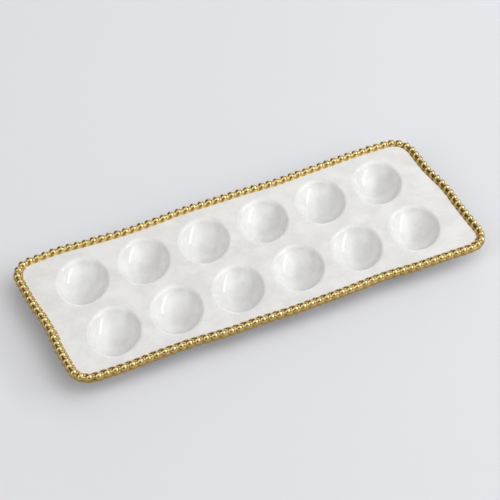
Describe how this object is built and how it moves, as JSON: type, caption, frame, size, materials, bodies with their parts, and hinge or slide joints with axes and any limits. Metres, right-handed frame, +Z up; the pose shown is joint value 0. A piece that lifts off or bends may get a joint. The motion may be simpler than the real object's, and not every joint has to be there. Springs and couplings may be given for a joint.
{
  "type": "deviled egg platter",
  "caption": "White glazed ceramic platter with rows of leaning oval cups that hold halved eggs, inside a wavy gilded rim of beads.",
  "frame": {"origin": "under the middle of the tray, on the surface that its egg cups stand on", "axes": "+X along the length of the tray to the right, +Y to the back row of egg cups, +Z up"},
  "size_m": [0.4032, 0.167, 0.0237],
  "materials": {
    "porcelain": "glossy warm white glaze, faintly pearly",
    "gilding": "polished gold lustre, fired over the glaze of the beads and the rim"
  },
  "bodies": {
    "root": {"deck": "porcelain", "egg_cup_back_1": "porcelain", "egg_cup_back_2": "porcelain", "egg_cup_back_3": "porcelain", "egg_cup_back_4": "porcelain", "egg_cup_back_5": "porcelain", "egg_cup_back_6": "porcelain", "egg_cup_front_1": "porcelain", "egg_cup_front_2": "porcelain", "egg_cup_front_3": "porcelain", "egg_cup_front_4": "porcelain", "egg_cup_front_5": "porcelain", "egg_cup_front_6": "porcelain", "rim_band": "gilding", "beads_back": "gilding", "beads_front": "gilding", "beads_left": "gilding", "beads_right": "gilding"}
  },
  "joints": []
}
